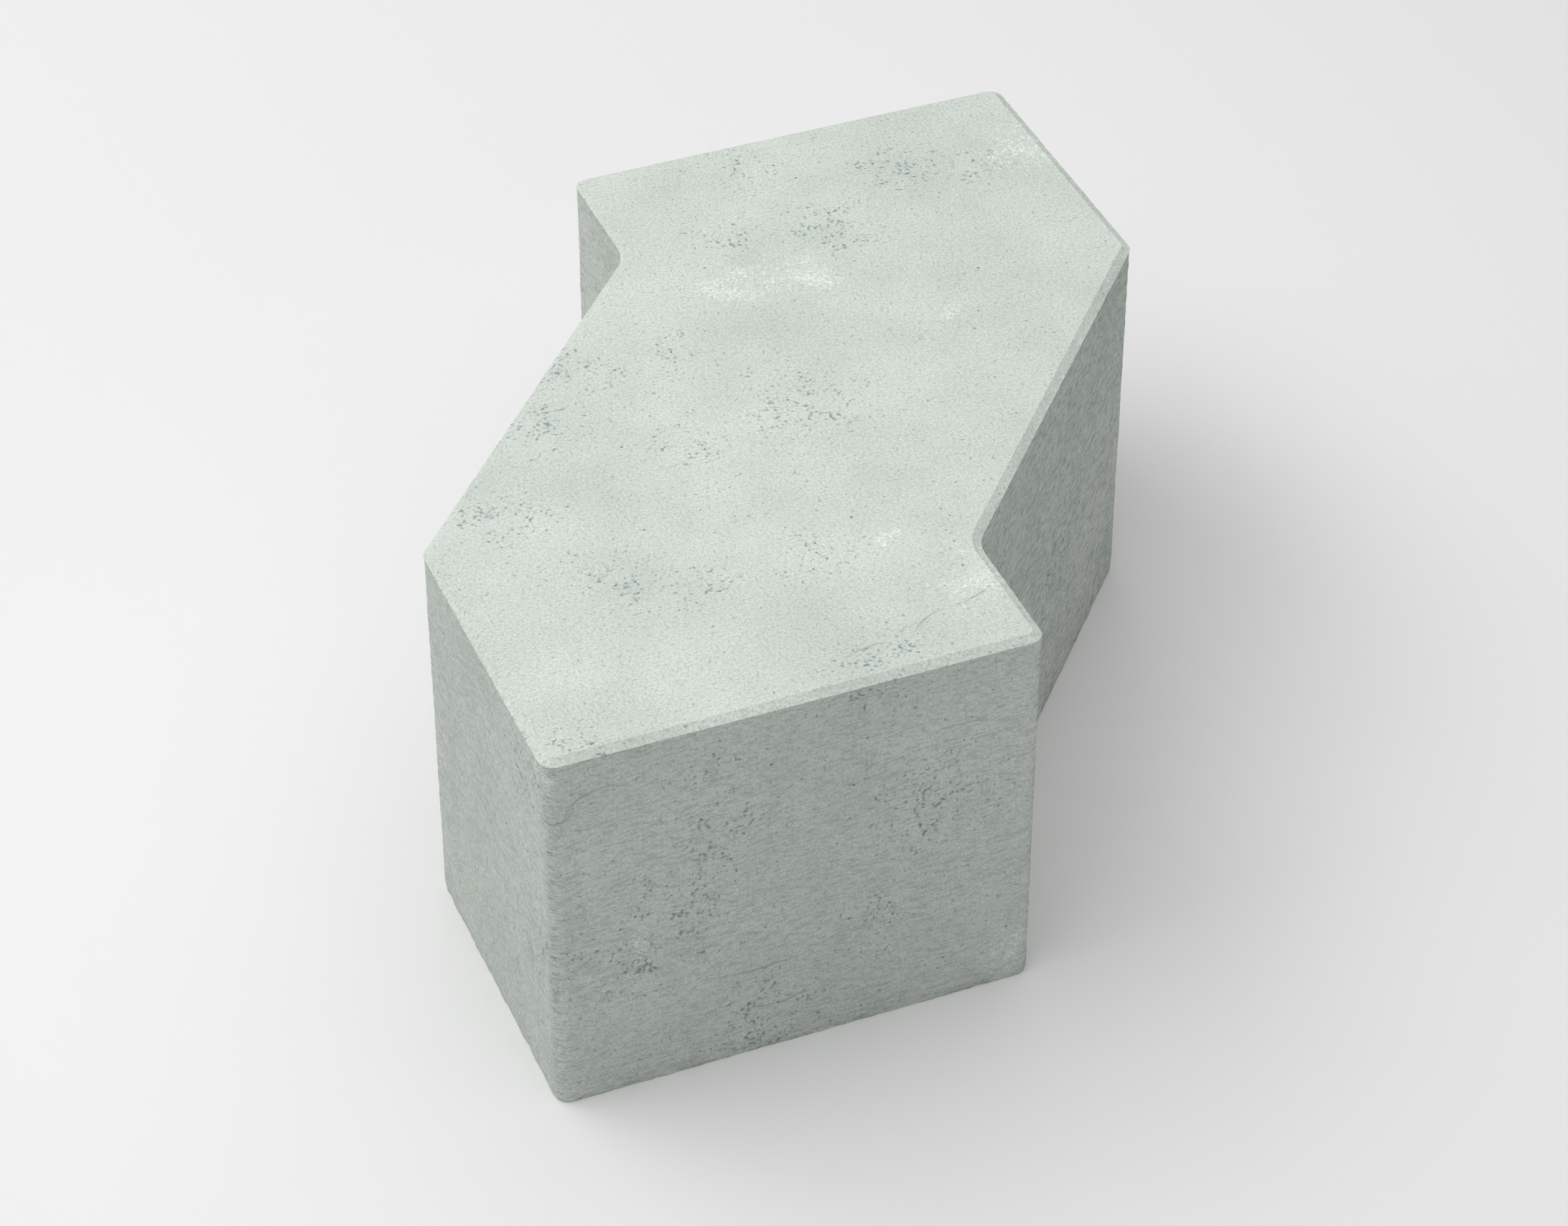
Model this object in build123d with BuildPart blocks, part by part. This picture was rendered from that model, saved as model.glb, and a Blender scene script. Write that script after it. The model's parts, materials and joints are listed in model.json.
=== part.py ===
"""Interlocking concrete paving block, vibro-pressed in two courses.

The plan is a lightning-bolt octagon that a half turn maps onto itself. Each flank runs from one
end face to the other as a long side, a diagonal and a short side, so that copies of the block lock
together along both axes. The coarse base course carries the load. The fine facing layer is bonded
on top of it, takes the wear and holds the chamfered arris.

Frame: +Z is up, +Y runs along the block, and the origin is the centre of the bed face.
Lengths are in millimetres.
"""

import os

from build123d import *

# Overall sizes
overall_length = 210.0  # end face to end face, along Y
overall_width = 199.4  # long side to long side, along X
block_thickness = 100.0  # bed face to wearing face, along Z

# Plan, measured to the sharp corners before they are rounded
end_width = 116.4  # each end face, along X
long_side = 79.6  # along Y
short_side = 36.6  # along Y
corner_radius = 3.7  # the six outward vertical edges
notch_radius = 9.5  # the two inward vertical edges

# Courses and arris
facing_depth = 8.0  # the wearing course that is bonded to the base course
chamfer_width = 2.2  # across the wearing face
chamfer_drop = 1.2  # down the sides

# Places that follow from the sizes
half_length = overall_length / 2
outer_x = overall_width / 2
inner_x = end_width - outer_x
shoulder_y = half_length - long_side
notch_y = short_side - half_length
base_depth = block_thickness - facing_depth

# The +X flank, from the end face on +Y to the end face on -Y. The -X flank is its half turn.
flank = [
    Vector(outer_x, half_length),
    Vector(outer_x, shoulder_y),
    Vector(inner_x, notch_y),
    Vector(inner_x, -half_length),
]
notch = flank[2]


def nearest_corners(sketch, points):
    """The sketch's corner that is closest to each of the points."""
    return [sketch.vertices().sort_by_distance(point)[0] for point in points]


def draw_plan():
    """The outline that both courses share, with its eight corners rounded."""
    with BuildSketch() as plan:
        with BuildLine():
            Polyline(*flank, *[-point for point in flank], close=True)
        make_face()
        inward = nearest_corners(plan, [notch, -notch])
        fillet([corner for corner in plan.vertices() if corner not in inward], radius=corner_radius)
        fillet(nearest_corners(plan, [notch, -notch]), radius=notch_radius)
    return plan.sketch


# Base course: coarse concrete, from the bed face up to the bond with the facing layer
with BuildPart() as base_course:
    with BuildSketch(Plane.XY):
        add(draw_plan())
    extrude(amount=base_depth)
base_course.part.label = "base_course"

# Facing layer: fine concrete, from the bond up to the wearing face, with the arris chamfered
with BuildPart() as facing_layer:
    with BuildSketch(Plane.XY.offset(base_depth)):
        add(draw_plan())
    extrude(amount=facing_depth)
    wearing_face = facing_layer.faces().sort_by(Axis.Z)[-1]
    chamfer(wearing_face.edges(), length=chamfer_width, length2=chamfer_drop, reference=wearing_face)
facing_layer.part.label = "facing_layer"

os.makedirs("parts", exist_ok=True)
for course in (base_course, facing_layer):
    export_step(course.part, f"parts/{course.part.label}.step")
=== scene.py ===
import json
import math

import bmesh
import bpy
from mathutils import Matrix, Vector


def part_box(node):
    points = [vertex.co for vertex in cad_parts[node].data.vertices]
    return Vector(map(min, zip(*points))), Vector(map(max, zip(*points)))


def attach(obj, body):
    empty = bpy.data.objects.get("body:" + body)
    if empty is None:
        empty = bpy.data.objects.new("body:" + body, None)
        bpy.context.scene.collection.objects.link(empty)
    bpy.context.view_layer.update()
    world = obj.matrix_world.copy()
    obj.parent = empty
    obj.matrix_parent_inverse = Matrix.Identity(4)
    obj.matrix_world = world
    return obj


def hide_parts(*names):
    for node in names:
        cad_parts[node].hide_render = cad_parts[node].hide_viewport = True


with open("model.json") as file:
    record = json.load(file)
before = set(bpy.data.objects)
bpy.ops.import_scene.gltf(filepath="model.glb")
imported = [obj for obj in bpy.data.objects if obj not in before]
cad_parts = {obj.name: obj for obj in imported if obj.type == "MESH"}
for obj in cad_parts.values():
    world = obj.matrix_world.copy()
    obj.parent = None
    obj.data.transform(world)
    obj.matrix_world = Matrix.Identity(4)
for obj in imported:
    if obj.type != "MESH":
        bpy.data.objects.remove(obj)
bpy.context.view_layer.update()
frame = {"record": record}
mm = 0.001

# where things are, all read from the frame
mounts = {mount["name"]: Vector(mount["pos_m"]) for mount in frame["record"]["mounts"]}
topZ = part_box("facing_layer")[1].z
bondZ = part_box("base_course")[1].z
outerX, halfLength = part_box("base_course")[1].xy
endWidth = 2 * (outerX - mounts["end_face_a"].x)
longSide = 2 * (halfLength - mounts["long_side_a"].y)
shortSide = 2 * (halfLength + mounts["short_side_a"].y)
innerX = endWidth - outerX
shoulderY = halfLength - longSide
notchY = shortSide - halfLength
# inside the block, where a long side meets a diagonal
shoulderAngle = math.pi - math.atan2(outerX - innerX, shoulderY - notchY)


viewpoint = {
    "aim": Vector((4.2, 16.0, 20.6)) * mm,
    "azimuth": math.radians(-22.2),
    "elevation": math.radians(38.56),
    "distance": 1.0755,
    "lens": 99.84,
    "sensor": 36,
    "nearest": 0.01,
}


def setCamera():
    flat = math.cos(viewpoint["elevation"])
    back = Vector((math.sin(viewpoint["azimuth"]) * flat,
                   -math.cos(viewpoint["azimuth"]) * flat,
                   math.sin(viewpoint["elevation"])))
    bpy.ops.object.camera_add(location=viewpoint["aim"] + back * viewpoint["distance"],
                              rotation=back.to_track_quat("Z", "Y").to_euler())
    camera = bpy.context.object
    camera.data.lens = viewpoint["lens"]
    camera.data.sensor_width = viewpoint["sensor"]
    camera.data.clip_start = viewpoint["nearest"]
    bpy.context.scene.camera = camera


setCamera()
print("camera set")


def editAlone(piece):  # opens one object in edit mode with nothing else selected
    if bpy.context.object and bpy.context.object.mode != "OBJECT":
        bpy.ops.object.mode_set(mode="OBJECT")
    bpy.ops.object.select_all(action="DESELECT")
    piece.select_set(True)
    bpy.context.view_layer.objects.active = piece
    bpy.ops.object.mode_set(mode="EDIT")


def middle(element):
    if hasattr(element, "co"):
        return element.co
    return sum((vert.co for vert in element.verts), Vector()) / len(element.verts)


def pick(kind, test):  # selects the verts, edges or faces that pass the test
    bpy.ops.mesh.select_mode(type=kind)
    bpy.ops.mesh.select_all(action="DESELECT")
    mesh = bmesh.from_edit_mesh(bpy.context.edit_object.data)
    for element in {"VERT": mesh.verts, "EDGE": mesh.edges, "FACE": mesh.faces}[kind]:
        if test(element):
            element.select_set(True)
    mesh.select_flush_mode()
    bmesh.update_edit_mesh(bpy.context.edit_object.data)


def near(value, target, tolerance=0.02 * mm):
    return abs(value - target) < tolerance


blockShape = {
    "cornerRadius": 3.7 * mm,  # outward upright corners
    "notchRadius": 9.5 * mm,  # inward upright corners
    "chamferWidth": 2.2 * mm,
    "chamferDrop": 1.2 * mm,
    "bedRound": 0.5 * mm,  # where the bed edge is worn round, in bands: shares of it across and down
    "bedRoundBands": [(0.25, 0.6), (0.75, 0.4)],
    "coreInset": 3.4 * mm,  # from the outline to the even grid inside each face
}
meshDensity = {
    "column": 0.95 * mm,  # along the outline
    "row": 0.85 * mm,  # up the sides
    "chamferRows": 4,
    "topCells": (98, 98, 42),  # across, along the waist and along each end, before they are halved
    "bedCells": (30, 31, 13),
}


def layStrip(name, z):  # the plan as a strip of three quads: one end, the slanted waist, the other end
    bpy.ops.object.select_all(action="DESELECT")
    bpy.ops.mesh.primitive_plane_add(size=1, location=(mounts["end_face_a"].x, mounts["long_side_a"].y, z))
    strip = bpy.context.object
    strip.name = name
    bpy.ops.object.mode_set(mode="EDIT")
    bpy.ops.transform.resize(value=(endWidth, longSide, 1))
    bpy.ops.object.mode_set(mode="OBJECT")
    bpy.ops.object.transform_apply(location=True)
    editAlone(strip)
    pick("VERT", lambda vert: vert.co.x < 0 and vert.co.y < halfLength / 2)
    bpy.ops.transform.translate(value=(0, -notchY - shoulderY, 0))
    pick("EDGE", lambda edge: near(middle(edge).y, (shoulderY - notchY) / 2))
    for step in ((innerX - outerX, notchY - shoulderY, 0), (0, -shortSide, 0)):
        bpy.ops.mesh.extrude_region_move(TRANSFORM_OT_translate={"value": step})
    pick("VERT", lambda vert: near(vert.co.x, -outerX) and vert.co.y < -shoulderY - shortSide / 2)
    bpy.ops.transform.translate(value=(0, shortSide - longSide, 0))
    return strip


def divide(test, parts):  # splits each edge that passes the test into equal parts
    pick("EDGE", test)
    bpy.ops.mesh.subdivide(number_cuts=parts - 1)


def makeCore(name, z, cells):  # an even grid that stops short of the outline
    core = layStrip(name, z)
    across, along, ends = cells
    innerWidth = endWidth - 2 * blockShape["coreInset"]
    bpy.ops.mesh.select_mode(type="FACE")
    bpy.ops.mesh.select_all(action="SELECT")
    bpy.ops.mesh.inset(thickness=blockShape["coreInset"], use_even_offset=True)
    bpy.ops.mesh.select_all(action="INVERT")
    bpy.ops.mesh.delete(type="FACE")
    divide(lambda edge: near(abs(edge.verts[0].co.x - edge.verts[1].co.x), innerWidth), across)
    divide(lambda edge: abs(edge.verts[0].co.x - edge.verts[1].co.x) > 2 * innerX, along)
    divide(lambda edge: edge.calc_length() > 2 * blockShape["coreInset"], ends)
    bpy.ops.mesh.select_all(action="SELECT")
    bpy.ops.mesh.subdivide(number_cuts=1)
    bpy.ops.object.mode_set(mode="OBJECT")
    return core


def arcOffset(radius, angle):  # how far from a corner its rounding starts
    return radius / math.tan(angle / 2)


lengthStep = 0.1 * mm  # the straight sides are told apart by length, to the nearest of these


def cutOutline(name, z):  # the plan's edge as a loop of short edges, its corners rounded
    outline = layStrip(name, z)
    bpy.ops.mesh.select_mode(type="FACE")
    bpy.ops.mesh.select_all(action="SELECT")
    bpy.ops.mesh.dissolve_faces()
    for radius, angle, test in (
        (blockShape["cornerRadius"], math.pi / 2, lambda vert: near(abs(vert.co.y), halfLength)),
        (blockShape["cornerRadius"], shoulderAngle, lambda vert: near(abs(vert.co.y), shoulderY)),
        (blockShape["notchRadius"], shoulderAngle, lambda vert: near(abs(vert.co.y), -notchY)),
    ):
        pick("VERT", test)
        segments = round(radius * (math.pi - angle) / meshDensity["column"])
        bpy.ops.mesh.bevel(affect="VERTICES", offset=arcOffset(radius, angle), segments=segments)
    bpy.ops.mesh.select_all(action="SELECT")
    bpy.ops.mesh.delete(type="ONLY_FACE")
    mesh = bmesh.from_edit_mesh(outline.data)
    lengths = [edge.calc_length() for edge in mesh.edges]
    # what is longer than a corner's radius is a straight side
    straights = {round(length / lengthStep) for length in lengths if length > blockShape["cornerRadius"]}
    for steps in sorted(straights):
        length = steps * lengthStep
        half = length / 2
        divide(lambda edge: near(edge.calc_length(), length, lengthStep), 2)
        divide(lambda edge: near(edge.calc_length(), half, lengthStep), round(half / meshDensity["column"]))
    return outline


def isUpright(edge, low, high):
    heights = sorted(vert.co.z for vert in edge.verts)
    return near(heights[0], low) and near(heights[1], high)


def lowerLoop(z, step):  # extrudes the lowest loop of edges down by a step
    pick("EDGE", lambda edge: all(near(vert.co.z, z) for vert in edge.verts))
    bpy.ops.mesh.extrude_region_move(TRANSFORM_OT_translate={"value": (0, 0, -step)})


def capLoop(z, insets):  # fills a level loop, works inwards from it in sloping bands and opens it again
    pick("EDGE", lambda edge: all(near(vert.co.z, z) for vert in edge.verts))
    bpy.ops.mesh.edge_face_add()
    bpy.ops.mesh.normals_make_consistent(inside=False)
    for width, rise in insets:
        bpy.ops.mesh.inset(thickness=width, depth=rise, use_even_offset=True)
    bpy.ops.mesh.delete(type="ONLY_FACE")


def closeRing(z):  # fills the level ring between the two open loops at one height
    pick("EDGE", lambda edge: edge.is_boundary and all(near(vert.co.z, z) for vert in edge.verts))
    bpy.ops.mesh.fill(use_beauty=True)


def pressBlock():
    shape = blockShape
    footZ = topZ - shape["chamferDrop"]
    topCore = makeCore("topCore", topZ, meshDensity["topCells"])
    bedCore = makeCore("bedCore", 0, meshDensity["bedCells"])
    block = cutOutline("block", footZ)
    lowerLoop(footZ, footZ - bondZ)
    lowerLoop(bondZ, bondZ - shape["bedRound"])
    divide(lambda edge: isUpright(edge, bondZ, footZ), round((footZ - bondZ) / meshDensity["row"]))
    divide(lambda edge: isUpright(edge, shape["bedRound"], bondZ), 2)
    halfZ = (shape["bedRound"] + bondZ) / 2
    rows = round((bondZ - halfZ) / meshDensity["row"])
    divide(lambda edge: isUpright(edge, shape["bedRound"], halfZ) or isUpright(edge, halfZ, bondZ), rows)
    capLoop(footZ, [(shape["chamferWidth"], shape["chamferDrop"])])
    divide(lambda edge: isUpright(edge, footZ, topZ), meshDensity["chamferRows"])
    capLoop(shape["bedRound"], [(across * shape["bedRound"], down * shape["bedRound"])
                                for across, down in shape["bedRoundBands"]])
    bpy.ops.object.mode_set(mode="OBJECT")
    topCore.select_set(True)
    bedCore.select_set(True)
    bpy.ops.object.join()
    bpy.ops.object.mode_set(mode="EDIT")
    closeRing(topZ)
    closeRing(0)
    bpy.ops.mesh.select_all(action="SELECT")
    bpy.ops.mesh.normals_make_consistent(inside=False)
    bpy.ops.object.mode_set(mode="OBJECT")
    return block


block = pressBlock()
print("block pressed:", len(block.data.polygons), "faces")


# how the surface left the mould
wear = {
    # name: (size of the bumps, depth, how far they are drawn out sideways, where)
    "swell": (6 * mm, 0.16 * mm, 1, "all"),
    "grain": (1.5 * mm, 0.14 * mm, 1, "all"),
    "drag": (1.7 * mm, 0.26 * mm, 6, "sides"),  # marks of the mould wall, level with the bed
    "ragged": (2.2 * mm, 0.9 * mm, 1.5, "bedEdge"),
}
bedEdgeReach = 1.9 * mm
bedFlatness = 0.75 * mm  # what is lower than this after the wear rests on the ground
sideSlope = 0.3  # a normal that leans up or down by less than this is on a side
bedSlope = -0.99  # and one that points down by more than this is on the bed
crispAngle = math.radians(10)


def weightGroup(piece, name, weigh):  # a vertex group whose weights come from where each vertex is
    group = piece.vertex_groups.new(name=name)
    for vert in piece.data.vertices:
        weight = weigh(vert)
        if weight > 0:
            group.add([vert.index], weight, "REPLACE")


def roughen(piece):
    weightGroup(piece, "all", lambda vert: 1)
    weightGroup(piece, "sides", lambda vert: 1 if abs(vert.normal.z) < sideSlope else 0)
    weightGroup(piece, "bedEdge", lambda vert: 1 - vert.co.z / bedEdgeReach
                if vert.co.z < bedEdgeReach and vert.normal.z > bedSlope else 0)
    for name, (size, depth, draw, where) in wear.items():
        bpy.ops.object.empty_add(location=(0, 0, 0))
        guide = bpy.context.object
        guide.scale = (draw, draw, 1)
        bumps = bpy.data.textures.new(name, "CLOUDS")
        bumps.noise_scale = size
        bumps.noise_depth = 2
        bpy.context.view_layer.objects.active = piece
        displace = piece.modifiers.new(name, "DISPLACE")
        displace.texture = bumps
        displace.texture_coords = "OBJECT"
        displace.texture_coords_object = guide
        displace.vertex_group = where
        displace.mid_level = 1  # the texture only takes away, so the block stays inside its size
        displace.strength = depth
        bpy.ops.object.modifier_apply(modifier=name)
        bpy.data.objects.remove(guide)


def sharpen(heights):  # keeps the edges of level loops crisp
    pick("EDGE", lambda edge: any(all(near(vert.co.z, z) for vert in edge.verts) for z in heights)
         and edge.calc_face_angle(0) > crispAngle)
    bpy.ops.mesh.mark_sharp()


editAlone(block)
sharpen([topZ, topZ - blockShape["chamferDrop"]])
bpy.ops.object.mode_set(mode="OBJECT")
bpy.ops.object.shade_smooth()
roughen(block)
editAlone(block)
pick("VERT", lambda vert: vert.co.z < bedFlatness)
bpy.ops.transform.resize(value=(1, 1, 0), center_override=(0, 0, 0))
bpy.ops.object.mode_set(mode="OBJECT")
print("surface worn")


def partCourse(name, keeps):  # a copy of the block that keeps one course and closes the bond face
    bpy.ops.object.select_all(action="DESELECT")
    block.select_set(True)
    bpy.context.view_layer.objects.active = block
    bpy.ops.object.duplicate()
    course = bpy.context.object
    course.name = name
    course.vertex_groups.clear()
    editAlone(course)
    pick("FACE", lambda face: not keeps(middle(face).z))
    bpy.ops.mesh.delete(type="FACE")
    pick("EDGE", lambda edge: edge.is_boundary)
    bpy.ops.mesh.edge_face_add()
    bpy.ops.mesh.mark_sharp()
    bpy.ops.mesh.select_all(action="SELECT")
    bpy.ops.mesh.normals_make_consistent(inside=False)
    bpy.ops.object.mode_set(mode="OBJECT")
    return course


facing = partCourse("facing", lambda z: z > bondZ)
base = partCourse("base", lambda z: z < bondZ)
bpy.data.objects.remove(block)
print("courses parted:", len(facing.data.polygons), "and", len(base.data.polygons), "faces")
for piece, node, slot in (
    (facing, "facing_layer", "facing_concrete"),
    (base, "base_course", "base_concrete"),
):
    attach(piece, "root")
    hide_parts(node)


def toLinear(hexCode):  # an sRGB hex colour as linear red, green, blue and alpha
    channels = [int(hexCode[i:i + 2], 16) / 255 for i in (1, 3, 5)]
    return [c / 12.92 if c <= 0.04045 else ((c + 0.055) / 1.055) ** 2.4 for c in channels] + [1]


# feeds: each input with the link or the value it gets
# on a Mix node, inputs 6 and 7 are the colours and output 2 is their blend
def addNode(tree, kind, feeds, **settings):
    node = tree.nodes.new("ShaderNode" + kind)
    for name, value in settings.items():
        setattr(node, name, value)
    for socket, source in feeds.items():
        if isinstance(source, bpy.types.NodeSocket):
            tree.links.new(source, node.inputs[socket])
        else:
            node.inputs[socket].default_value = source
    return node


def perMm(size):  # a texture's scale for features that many millimetres apart
    return 1 / (size * mm)


# Dry concrete, vibrated and pressed in a steel mould: a matt, pale grey-green cement skin that shows its
# sand, crumbs of dark and white crushed stone in loose drifts, and level ripples where the mould drew off
# the sides. The ripple troughs, the hairline creases and the pores are darkened with painted shade, and
# the ripple crests are lightened with a painted highlight.
concrete = {
    "paleCement": "#D1D8D0",
    "greyCement": "#C4CCC4",
    # sizes, all in millimetres
    "cloud": 17,
    "bank": 48,
    "sand": 0.62,
    "pore": 1.1,
    "darkCrumb": 1.0,
    "whiteThread": 0.9,
    "clump": 5,
    "wander": 12,
    "driftWander": 24,  # how far the wandering noise can carry a drift's outline
    "rippleWander": 2.4,  # and a ripple's line
    "driftCore": 0.2,  # the share of a drift's reach at which it is full
    "ripple": (3.2, 3.2, 0.52),
    "creaseWidth": 0.4,
    "rustSpacing": 3.2,
    "rustEdge": (0.45, 0.25),
    "relief": 0.12,
    # levels at which each noise starts to show and shows in full
    "cloudLevels": (0.7, 1.3),
    "sandLevels": (0.2, 0.8),
    "sandContrast": 0.23,
    "poreLevel": 0.6,
    "clumpLevels": (0.35, 0.6),
    "darkLevels": (0.645, 0.495),  # outside the drifts and within them
    "whiteLevels": (0.7, 0.46),
    "crumbEdge": 0.14,
    "whiteSwirl": 1.5,
    "troughLevels": (0.5, 0.66),
    "crestLevels": (0.5, 0.36),
    "rippleTilt": (0.09, -0.03, 0),
    "rippleRoughness": 0.6,
    "squareRipple": 0.5,  # how plain the ripples are on all sides but the slanted ones
    # how much of the normal points up, and how much along its longest level axis
    "sideNormals": (0.7, 0.3),
    "squareNormals": (0.76, 0.9),
    "rustChance": 0.04,
    "roughness": 0.9,
    "ior": 1.5,
}
overlays = {  # what lies over the cement, in order: colour, how well it covers, how far it stands out
    # pores, troughs and creases are painted shade, crests a painted highlight; grit and rust are the
    # stone's own colour
    "shadedPores": ("#8B958E", 0.3, 0),
    "shadedTroughs": ("#8B958E", 0.66, -1.0),
    "highlitCrests": ("#E9EFE8", 0.27, 0),
    "shadedCreases": ("#8B958E", 0.6, -0.8),
    "darkGrit": ("#3B6470", 0.62, -0.6),
    "whiteGrit": ("#F1FBF2", 0.8, 0.4),
    "rust": ("#87785A", 0.9, 0),
}
darkDrifts = [  # x, y, z and reach, in millimetres
    (5, 65, 100, 14), (35, 60, 100, 18), (60, 80, 100, 16), (25, 95, 100, 14), (-20, 25, 100, 14),
    (-45, 25, 100, 16), (-60, 10, 100, 18), (0, -5, 100, 22), (-30, -10, 100, 13), (-20, -60, 100, 12),
    (-45, -60, 100, 14), (-65, -50, 100, 16), (-20, -100, 100, 18), (80, 70, 100, 15), (-80, -20, 100, 15),
    (-90, -100, 100, 9), (-60, -105, 90, 9), (-60, -105, 70, 15), (-10, -105, 60, 20), (-70, -105, 50, 18),
    (-80, -105, 35, 14), (-20, -105, 30, 13), (-50, -105, 10, 20), (-100, -90, 90, 13), (-100, -95, 40, 16),
    (60, -20, 40, 18),
]
whiteDrifts = [
    (20, 45, 100, 18), (5, 45, 100, 15), (95, 75, 100, 20), (45, 15, 100, 11), (13, -82, 100, 20),
    (0, -60, 100, 7), (20, 5, 100, 8), (10, -105, 10, 16), (-80, -105, 40, 6), (-103, -104, 93, 12),
]
shadedCreases = [  # hairline arcs, sunk by the bump and darkened with painted shade: centre, radius, the place where it is plainest and its reach from there
    ((-86, -105, 80), 10, (-90, -105, 88), 12),
    ((-98, -105, 88), 5.5, (-96, -105, 83), 6),
    ((-20, -105, 100), 11.5, (-22, -94, 100), 7),
    ((1, -102, 100), 14, (-6, -90, 100), 7),
    ((0, -66, 100), 22, (9, -86, 100), 9),
    ((-50, -105, 95), 70, (-50, -105, 25), 14),
    ((-48, -105, 32), 19, (-44, -105, 14), 10),
]


def span(tree, value, start, end, low=0, high=1):  # low up to start, high from end, even between them
    return addNode(tree, "MapRange", {"Value": value, "From Min": start, "From Max": end,
                                      "To Min": low, "To Max": high}).outputs[0]


def driftShare(tree, place, drifts):  # 1 in the middle of a drift, 0 outside all of them
    share = 0
    for x, y, z, reach in drifts:
        gap = addNode(tree, "VectorMath", {0: place, 1: Vector((x, y, z)) * mm}, operation="DISTANCE")
        within = span(tree, gap.outputs["Value"], reach * mm, concrete["driftCore"] * reach * mm)
        share = addNode(tree, "Math", {0: share, 1: within}, operation="MAXIMUM").outputs[0]
    return share


def creaseShare(tree, place):  # 1 along the middle of a crease, 0 away from all of them; this is where the painted crease shade goes
    share = 0
    for centre, radius, plainest, reach in shadedCreases:
        arm = addNode(tree, "VectorMath", {0: place, 1: Vector(centre) * mm}, operation="DISTANCE")
        off = addNode(tree, "Math", {0: arm.outputs["Value"], 1: radius * mm}, operation="SUBTRACT")
        gap = addNode(tree, "Math", {0: off.outputs[0]}, operation="ABSOLUTE")
        hair = span(tree, gap.outputs[0], concrete["creaseWidth"] * mm, 0)
        kept = driftShare(tree, place, [(*plainest, reach)])
        line = addNode(tree, "Math", {0: hair, 1: kept}, operation="MULTIPLY")
        share = addNode(tree, "Math", {0: share, 1: line.outputs[0]}, operation="MAXIMUM").outputs[0]
    return share


def crumbs(tree, place, size, share, levels, swirl=0):  # peaks of a noise, more of them where share is high
    noise = addNode(tree, "TexNoise", {"Vector": place, "Scale": perMm(size), "Detail": 2,
                                       "Distortion": swirl})
    outside, inside = levels
    level = span(tree, share, 0, 1, outside, inside)
    excess = addNode(tree, "Math", {0: noise.outputs[0], 1: level}, operation="SUBTRACT")
    return span(tree, excess.outputs[0], 0, concrete["crumbEdge"])


def stray(tree, place, wander, reach):  # the place moved about by a wandering noise
    centred = addNode(tree, "VectorMath", {0: wander.outputs["Color"], 1: (0.5, 0.5, 0.5)},
                      operation="SUBTRACT")
    return addNode(tree, "VectorMath", {0: centred.outputs[0], 1: (reach * mm,) * 3, 2: place},
                   operation="MULTIPLY_ADD").outputs[0]


def mixCement(tree, place, sand):  # cloudy pale and grey paste, with sand that shows through its skin
    cloud = addNode(tree, "TexNoise", {"Vector": place, "Scale": perMm(concrete["cloud"]), "Detail": 3})
    bank = addNode(tree, "TexNoise", {"Vector": place, "Scale": perMm(concrete["bank"]), "Detail": 1})
    blend = addNode(tree, "Math", {0: cloud.outputs[0], 1: bank.outputs[0]}, operation="ADD")
    cement = addNode(tree, "Mix", {0: span(tree, blend.outputs[0], *concrete["cloudLevels"]),
                                   6: toLinear(concrete["greyCement"]),
                                   7: toLinear(concrete["paleCement"])}, data_type="RGBA")
    contrast = concrete["sandContrast"]
    sandTone = span(tree, sand, *concrete["sandLevels"], 1 - contrast, 1 + contrast)
    return addNode(tree, "VectorMath", {0: cement.outputs[2], "Scale": sandTone},
                   operation="SCALE").outputs[0]


def scatterRust(tree, place):  # a few lone grains
    cells = addNode(tree, "TexVoronoi", {"Vector": place, "Scale": perMm(concrete["rustSpacing"])})
    rim, heart = concrete["rustEdge"]
    grain = span(tree, cells.outputs["Distance"],
                 rim / concrete["rustSpacing"], heart / concrete["rustSpacing"])
    draw = addNode(tree, "SeparateColor", {0: cells.outputs["Color"]})
    chosen = addNode(tree, "Math", {0: draw.outputs[0], 1: concrete["rustChance"]}, operation="LESS_THAN")
    return addNode(tree, "Math", {0: grain, 1: chosen.outputs[0]}, operation="MULTIPLY").outputs[0]


def dragShare(tree, normal):  # where the mould wall dragged: the sides, and plainest on the slanted ones; it weights the ripple relief, the painted trough shade and the painted crest highlight
    facings = addNode(tree, "VectorMath", {0: normal}, operation="ABSOLUTE")
    parts = addNode(tree, "SeparateXYZ", {0: facings.outputs[0]})
    side = span(tree, parts.outputs["Z"], *concrete["sideNormals"])
    square = addNode(tree, "Math", {0: parts.outputs["X"], 1: parts.outputs["Y"]}, operation="MAXIMUM")
    plain = span(tree, square.outputs[0], *concrete["squareNormals"], 1, concrete["squareRipple"])
    return addNode(tree, "Math", {0: side, 1: plain}, operation="MULTIPLY").outputs[0]


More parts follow.
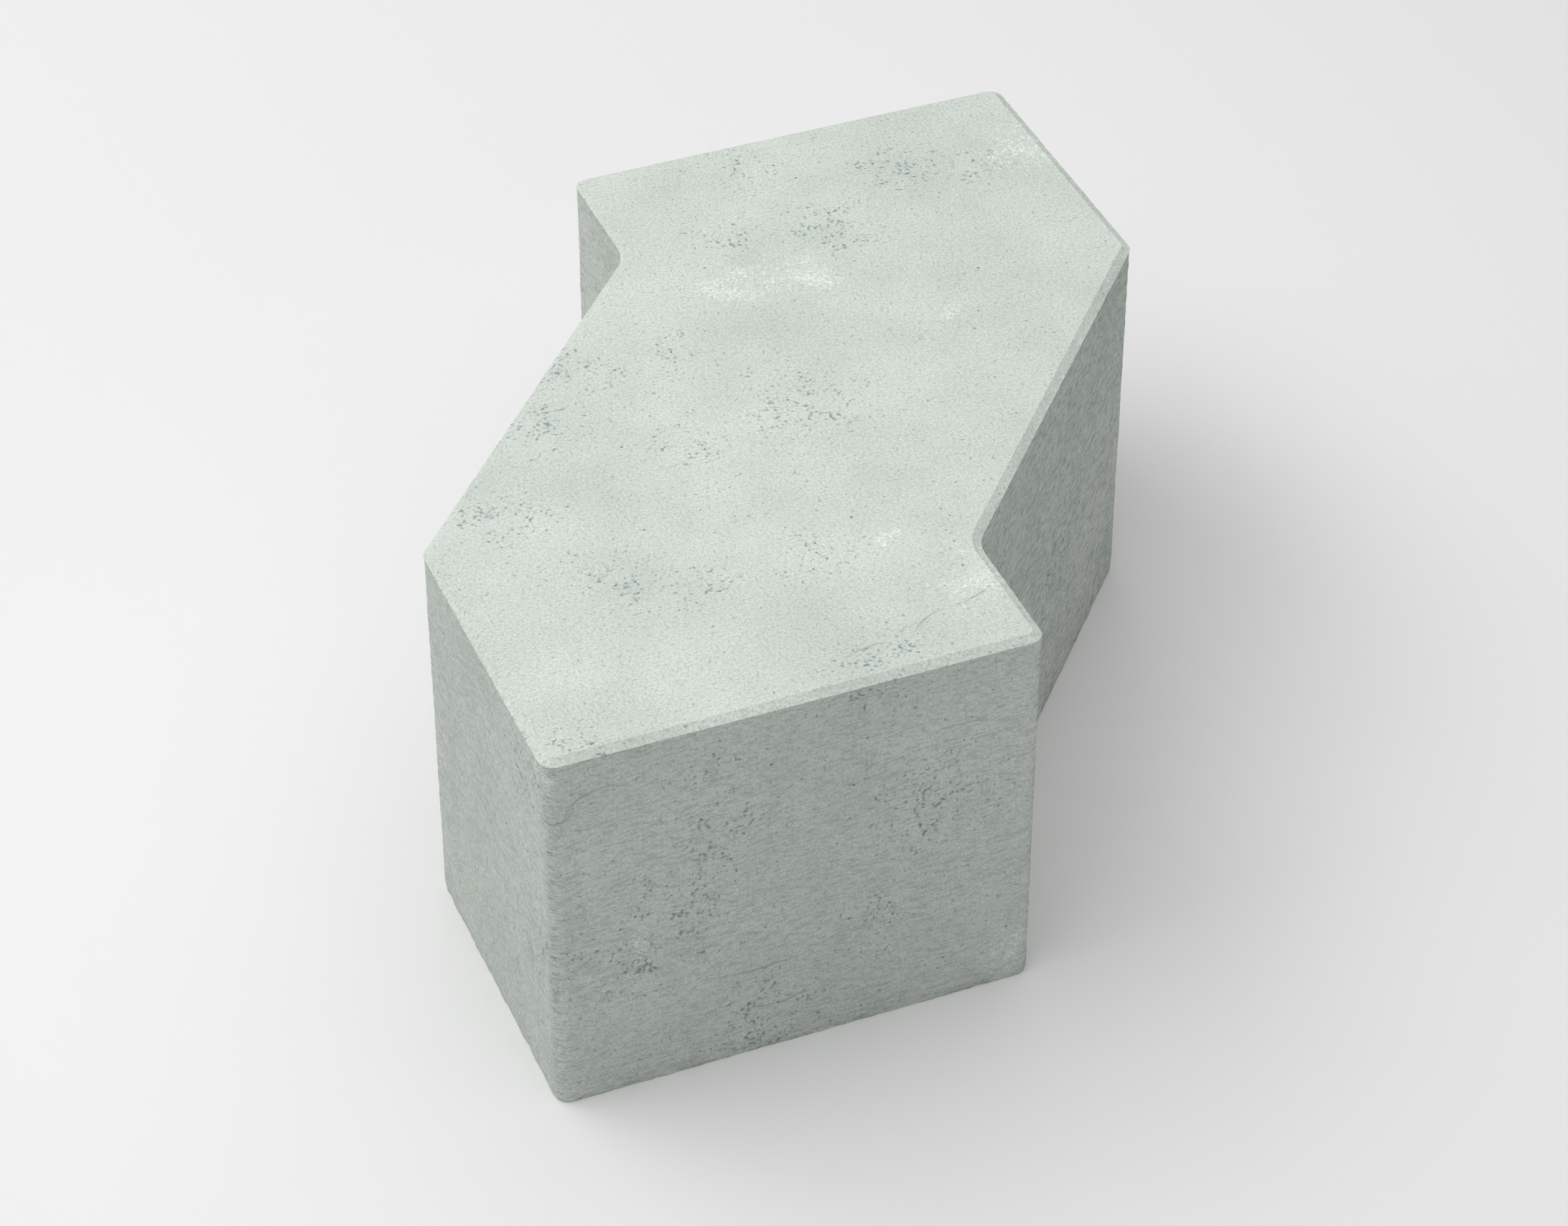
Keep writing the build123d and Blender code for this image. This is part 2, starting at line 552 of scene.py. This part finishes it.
def pressedConcrete(name):
    material = bpy.data.materials.new(name)
    material.use_nodes = True
    tree = material.node_tree
    tree.nodes.clear()
    spot = addNode(tree, "TexCoord", {})
    place = spot.outputs["Object"]
    sand = addNode(tree, "TexNoise", {"Vector": place, "Scale": perMm(concrete["sand"]),
                                      "Detail": 2}).outputs[0]
    colour = mixCement(tree, place, sand)
    wander = addNode(tree, "TexNoise", {"Vector": place, "Scale": perMm(concrete["wander"]), "Detail": 3})

    # drifts of grit have a wandering outline, and the dark ones gaps between clumps
    drifting = stray(tree, place, wander, concrete["driftWander"])
    clump = addNode(tree, "TexNoise", {"Vector": place, "Scale": perMm(concrete["clump"]), "Detail": 1})
    darkShare = addNode(tree, "Math", {0: driftShare(tree, drifting, darkDrifts),
                                       1: span(tree, clump.outputs[0], *concrete["clumpLevels"])},
                        operation="MULTIPLY").outputs[0]
    whiteShare = driftShare(tree, drifting, whiteDrifts)

    # ripples are a noise drawn out level, a little tilted
    drag = dragShare(tree, spot.outputs["Normal"])
    wavering = stray(tree, place, wander, concrete["rippleWander"])
    drawnOut = addNode(tree, "Mapping", {"Vector": wavering, "Scale": Vector(concrete["ripple"]) * mm,
                                         "Rotation": concrete["rippleTilt"]}, vector_type="TEXTURE")
    ripple = addNode(tree, "TexNoise", {"Vector": drawnOut.outputs[0], "Scale": 1, "Detail": 2,
                                        "Roughness": concrete["rippleRoughness"]})
    # ripple troughs: sunk by the bump and darkened with painted shade
    trough = span(tree, ripple.outputs[0], *concrete["troughLevels"])
    # ripple crests: lightened with a painted highlight, which also brightens the sides
    crest = span(tree, ripple.outputs[0], *concrete["crestLevels"])

    masks = {
        # the pores are small dark flecks of painted shade, with no relief
        "shadedPores": crumbs(tree, place, concrete["pore"], 0, (concrete["poreLevel"],) * 2),
        "shadedTroughs": addNode(tree, "Math", {0: trough, 1: drag}, operation="MULTIPLY").outputs[0],
        "highlitCrests": addNode(tree, "Math", {0: crest, 1: drag}, operation="MULTIPLY").outputs[0],
        "shadedCreases": creaseShare(tree, wavering),
        "darkGrit": crumbs(tree, place, concrete["darkCrumb"], darkShare, concrete["darkLevels"]),
        "whiteGrit": crumbs(tree, place, concrete["whiteThread"], whiteShare, concrete["whiteLevels"],
                            swirl=concrete["whiteSwirl"]),
        "rust": scatterRust(tree, place),
    }
    height = sand
    for overlay, (paint, cover, rise) in overlays.items():
        mask = masks[overlay]
        amount = addNode(tree, "Math", {0: mask, 1: cover}, operation="MULTIPLY")
        colour = addNode(tree, "Mix", {0: amount.outputs[0], 6: colour, 7: toLinear(paint)},
                         data_type="RGBA").outputs[2]
        if rise:
            height = addNode(tree, "Math", {0: mask, 1: rise, 2: height},
                             operation="MULTIPLY_ADD").outputs[0]
    relief = addNode(tree, "Bump", {"Height": height, "Distance": concrete["relief"] * mm})
    shader = addNode(tree, "BsdfPrincipled", {"Base Color": colour, "Normal": relief.outputs[0],
                                              "Roughness": concrete["roughness"], "IOR": concrete["ior"]})
    addNode(tree, "OutputMaterial", {"Surface": shader.outputs[0]})
    return material


facing.data.materials.append(pressedConcrete("facingConcrete"))
base.data.materials.append(pressedConcrete("baseConcrete"))
print("concrete coloured")

studio = {
    "floorWidth": 8.0,
    "floorTone": "#EAEAEA",
    "softboxes": {  # place, width, watts
        "overheadSky": ((0, 0, 1.6), 3.0, 33),
        "leftHigh": ((-1.2, 0.3, 1.5), 1.2, 7.5),
        "leftNear": ((-0.9, -0.5, 1.2), 0.8, 1.2),
        "overheadNear": ((-0.3, -0.1, 1.0), 0.6, 0.8),
        "backLeft": ((-0.8, 1.2, 1.3), 1.0, 7),
        "back": ((0.3, 1.6, 1.0), 1.0, 2.5),
        "front": ((0.2, -1.8, 0.8), 1.0, 2.5),
    },
}


def layFloor():
    bpy.ops.mesh.primitive_plane_add(size=studio["floorWidth"])
    floor = bpy.context.object
    floor.name = "floor"
    matt = bpy.data.materials.new("mattPaper")
    matt.use_nodes = True
    shader = matt.node_tree.nodes["Principled BSDF"]
    shader.inputs["Base Color"].default_value = toLinear(studio["floorTone"])
    shader.inputs["Roughness"].default_value = 1
    shader.inputs["Specular IOR Level"].default_value = 0
    floor.data.materials.append(matt)


def hangSoftboxes():  # each one faces the block
    for name, (place, width, watts) in studio["softboxes"].items():
        turn = Vector(place).to_track_quat("Z", "Y").to_euler()
        bpy.ops.object.light_add(type="AREA", location=place, rotation=turn)
        bpy.context.object.name = name
        bpy.context.object.data.size = width
        bpy.context.object.data.energy = watts


layFloor()
hangSoftboxes()
bpy.context.scene.view_settings.view_transform = "Standard"
print("studio lit")
